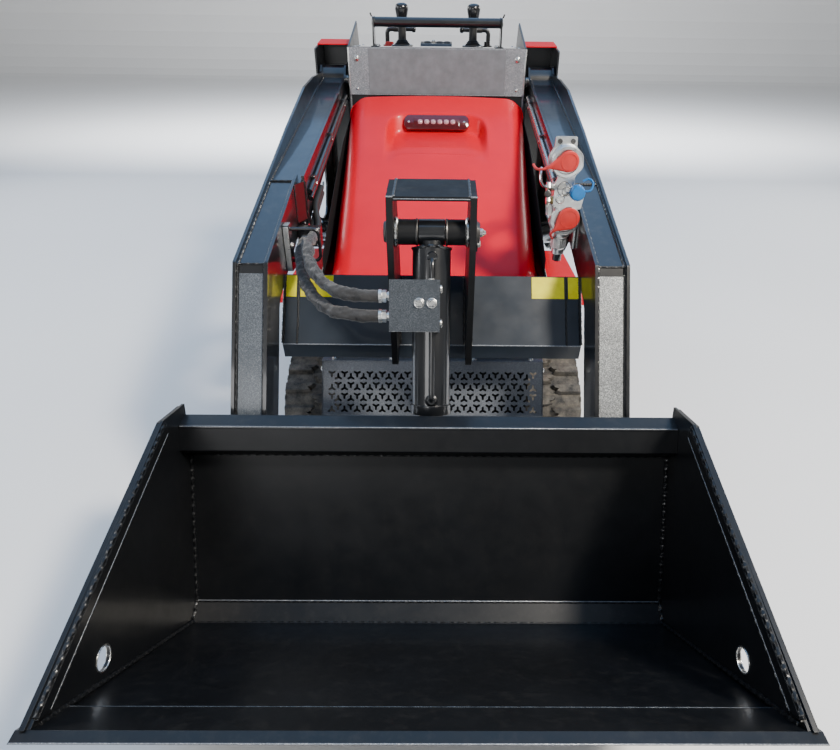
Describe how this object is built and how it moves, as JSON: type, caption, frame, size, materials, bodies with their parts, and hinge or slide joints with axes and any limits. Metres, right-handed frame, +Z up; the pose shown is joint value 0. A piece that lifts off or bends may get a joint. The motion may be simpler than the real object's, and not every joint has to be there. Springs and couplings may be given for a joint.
{
  "type": "mini skid steer loader",
  "caption": "Stand-on mini skid steer loader on rubber tracks, with hinged lift arms, tilting bucket and opening hood, for moving soil and other loose loads.",
  "frame": {"origin": "on the floor, under the middle of the bounding box", "axes": "-Y forward to the bucket, +Z up, +X towards the operator's left side"},
  "size_m": [1.11, 2.7, 1.312],
  "materials": {
    "black_paint": "gloss",
    "red_paint": "gloss",
    "slate_paint": "satin",
    "grey_plate": "satin",
    "pin_steel": "brushed",
    "edge_steel": "satin",
    "chrome_rod": "polished",
    "track_rubber": "matt",
    "cast_wheel": "matt",
    "knob_plastic": "satin",
    "lamp_plastic": "gloss",
    "hose_sleeve": "matt"
  },
  "bodies": {
    "chassis": {"chassis_frame": "black_paint", "hood_hinge_tube": "black_paint", "engine_block": "cast_wheel", "deck_strips": "red_paint", "front_guard": "black_paint", "left_side_plate": "black_paint", "right_side_plate": "black_paint", "left_tower": "black_paint", "right_tower": "black_paint", "tower_covers": "red_paint", "tower_pins": "pin_steel", "console_housing": "black_paint", "console_front_panel": "grey_plate", "console_side_wings": "grey_plate", "reference_bar": "black_paint", "drive_levers": "knob_plastic", "control_handles": "black_paint", "rear_panel": "black_paint", "operator_platform": "black_paint", "tie_down_lugs": "black_paint", "left_track": "track_rubber", "right_track": "track_rubber", "left_idlers_and_rollers": "cast_wheel", "right_idlers_and_rollers": "cast_wheel", "left_track_frame": "black_paint", "right_track_frame": "black_paint", "left_drive_sprocket": "cast_wheel", "right_drive_sprocket": "cast_wheel"},
    "arms": {"left_lift_arm": "black_paint", "right_lift_arm": "black_paint", "arm_cross_member": "slate_paint", "lower_cross_tube": "black_paint", "tilt_bracket": "black_paint", "aux_coupler_block": "pin_steel", "hose_guide": "black_paint", "hose_bulkhead": "black_paint", "tilt_hose_upper": "hose_sleeve", "tilt_hose_lower": "hose_sleeve"},
    "bucket": {"bucket_shell": "black_paint", "bucket_cutting_edge": "edge_steel", "left_bucket_side_plate": "black_paint", "right_bucket_side_plate": "black_paint", "bucket_top_bar": "black_paint", "bucket_hinge_ears": "black_paint", "bucket_hinge_pins": "pin_steel"},
    "tilt_barrel": {"tilt_cylinder_barrel": "black_paint", "tilt_valve_block": "slate_paint", "tilt_hose_fittings": "pin_steel"},
    "tilt_rod": {"tilt_cylinder_rod": "chrome_rod"},
    "lift_barrel_left": {"left_lift_cylinder_barrel": "black_paint"},
    "lift_barrel_right": {"right_lift_cylinder_barrel": "black_paint"},
    "lift_rod_left": {"left_lift_cylinder_rod": "chrome_rod"},
    "lift_rod_right": {"right_lift_cylinder_rod": "chrome_rod"},
    "hood": {"hood": "red_paint", "hood_light": "lamp_plastic"}
  },
  "joints": [
    {"name": "arm_lift", "type": "hinge", "parent": "chassis", "child": "arms", "pos_m": [0, 0.975, 1.035], "axis": [-1, 0, 0], "range_deg": [0, 60]},
    {"name": "bucket_tilt", "type": "hinge", "parent": "arms", "child": "bucket", "pos_m": [0, -0.68, 0.212], "axis": [1, 0, 0], "range_deg": [0, 130]},
    {"name": "tilt_barrel_swing", "type": "hinge", "parent": "arms", "child": "tilt_barrel", "pos_m": [0, -0.445, 0.819], "axis": [1, 0, 0], "range_deg": [-2.35, 0]},
    {"name": "tilt_rod_slide", "type": "slide", "parent": "tilt_barrel", "child": "tilt_rod", "axis": [0, -0.4222, -0.9065], "range_m": [0, 0.2536]},
    {"name": "lift_barrel_left_swing", "type": "hinge", "parent": "chassis", "child": "lift_barrel_left", "pos_m": [0.42, 0.74, 0.455], "axis": [-1, 0, 0], "range_deg": [0, 48.48]},
    {"name": "lift_rod_left_slide", "type": "slide", "parent": "lift_barrel_left", "child": "lift_rod_left", "axis": [0, -0.9519, 0.3064], "range_m": [0, 0.592]},
    {"name": "lift_barrel_right_swing", "type": "hinge", "parent": "chassis", "child": "lift_barrel_right", "pos_m": [-0.42, 0.74, 0.455], "axis": [-1, 0, 0], "range_deg": [0, 48.48]},
    {"name": "lift_rod_right_slide", "type": "slide", "parent": "lift_barrel_right", "child": "lift_rod_right", "axis": [0, -0.9519, 0.3064], "range_m": [0, 0.592]},
    {"name": "hood_open", "type": "hinge", "parent": "chassis", "child": "hood", "pos_m": [0, -0.101, 0.48], "axis": [1, 0, 0], "range_deg": [0, 45]}
  ],
  "couplings": [
    {"joint": "tilt_barrel_swing", "follows": "bucket_tilt", "ratio": -0.017728},
    {"joint": "tilt_rod_slide", "follows": "bucket_tilt", "m_per_rad": 0.11131},
    {"joint": "lift_barrel_left_swing", "follows": "arm_lift", "ratio": 0.80724},
    {"joint": "lift_rod_left_slide", "follows": "arm_lift", "m_per_rad": 0.56441},
    {"joint": "lift_barrel_right_swing", "follows": "arm_lift", "ratio": 0.80724},
    {"joint": "lift_rod_right_slide", "follows": "arm_lift", "m_per_rad": 0.56441}
  ]
}
